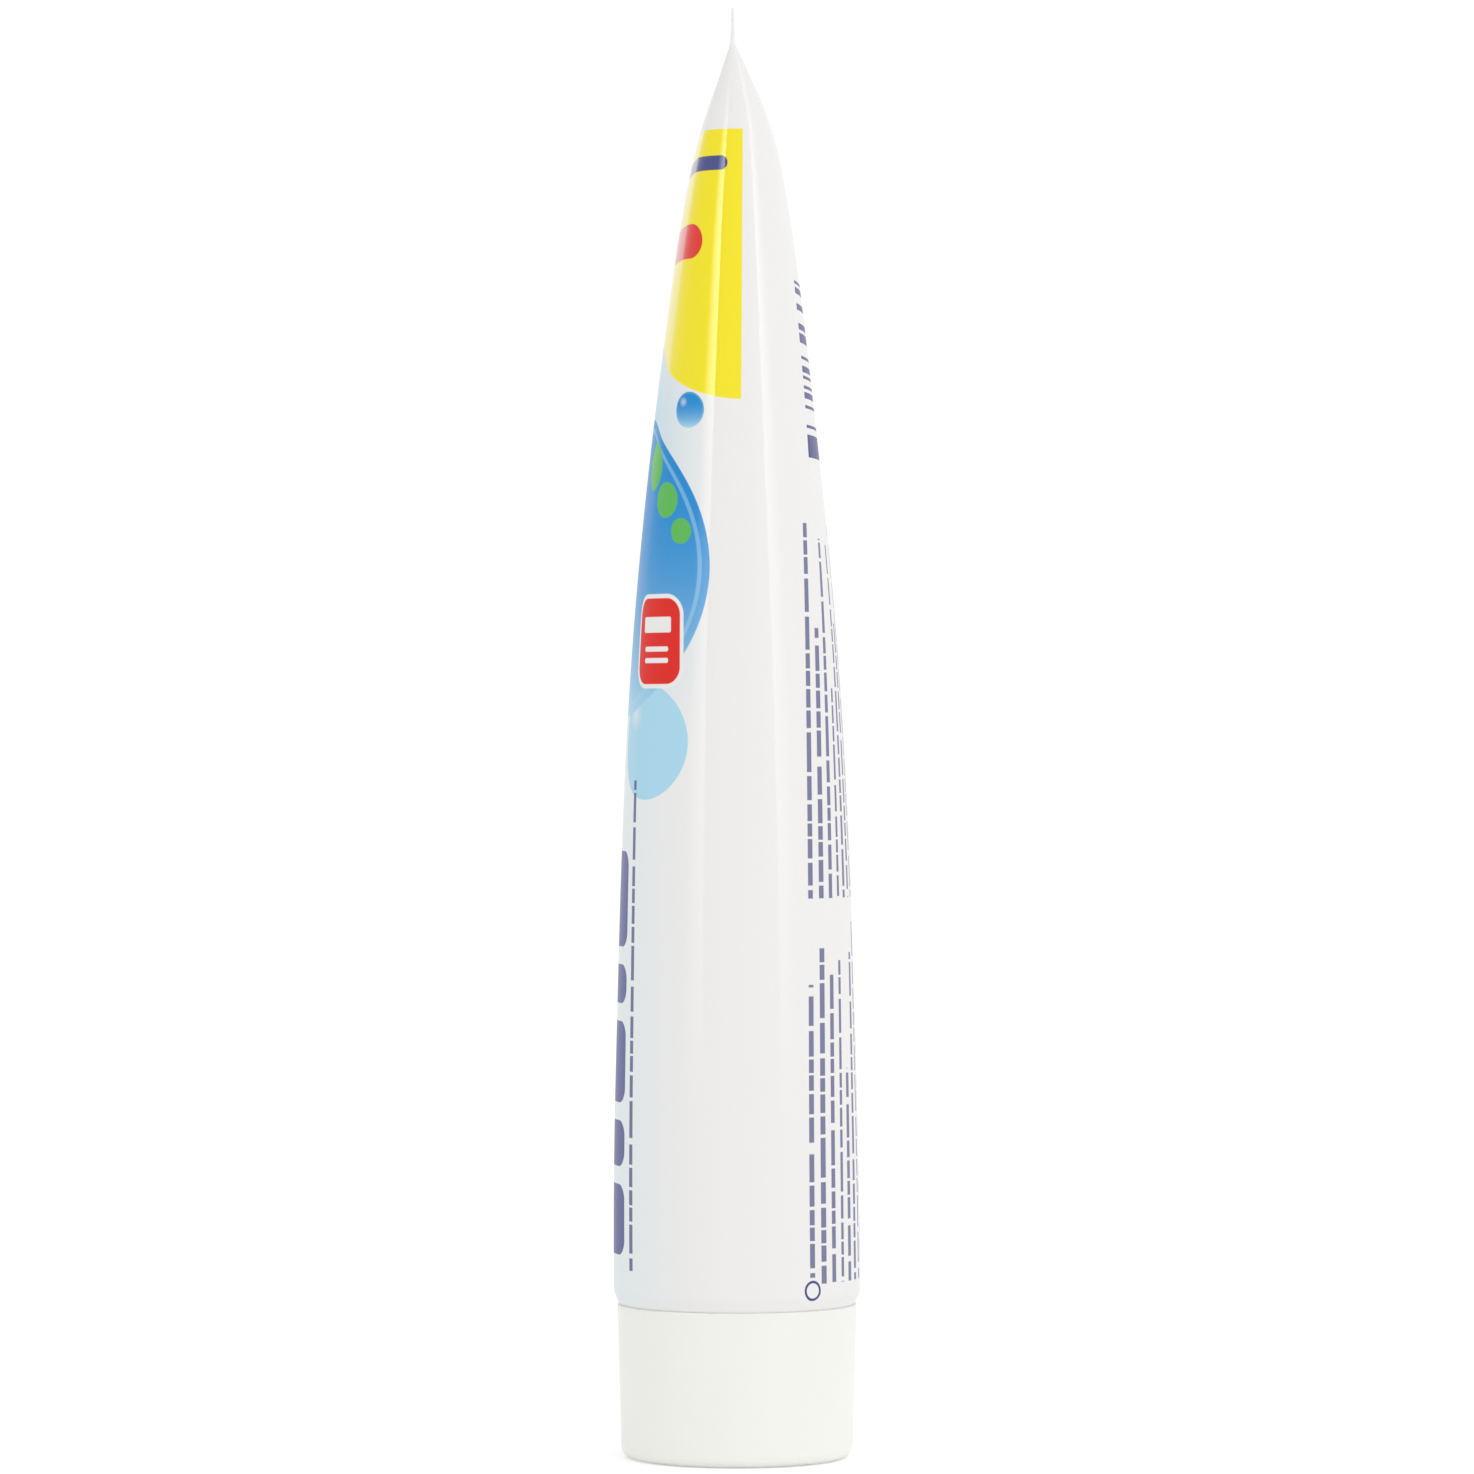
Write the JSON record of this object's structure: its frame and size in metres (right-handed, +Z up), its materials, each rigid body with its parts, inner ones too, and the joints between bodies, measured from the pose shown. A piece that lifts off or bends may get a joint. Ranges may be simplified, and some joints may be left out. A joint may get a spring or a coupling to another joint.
{
  "type": "toothpaste tube",
  "caption": "Laminate squeeze tube of toothpaste, round at the shoulder and crimped flat at the far end, standing upside down on its wide plain screw cap.",
  "frame": {"origin": "middle of the cap's closed end, which is the face that the tube stands on", "axes": "+Z up the tube towards the crimp, X along the crimp line, -Y out of the printed front, +Y out of the printed back"},
  "size_m": [0.0546, 0.035, 0.2026],
  "materials": {
    "sleeve_laminate": "gloss laminate, white ground with a printed front and back",
    "shoulder_plastic": "satin moulded polyethylene",
    "paste": "smooth white paste",
    "cap_plastic": "semi-gloss moulded polypropylene, off-white"
  },
  "bodies": {
    "cap": {"screw_cap": "cap_plastic"},
    "tube": {"tube_sleeve": "sleeve_laminate", "shoulder_nozzle": "shoulder_plastic", "toothpaste": "paste"}
  },
  "joints": [
    {"name": "cap_lift_off", "type": "slide", "parent": "cap", "child": "tube", "axis": [0, 0, 1], "range_m": [0, 0.035]}
  ]
}
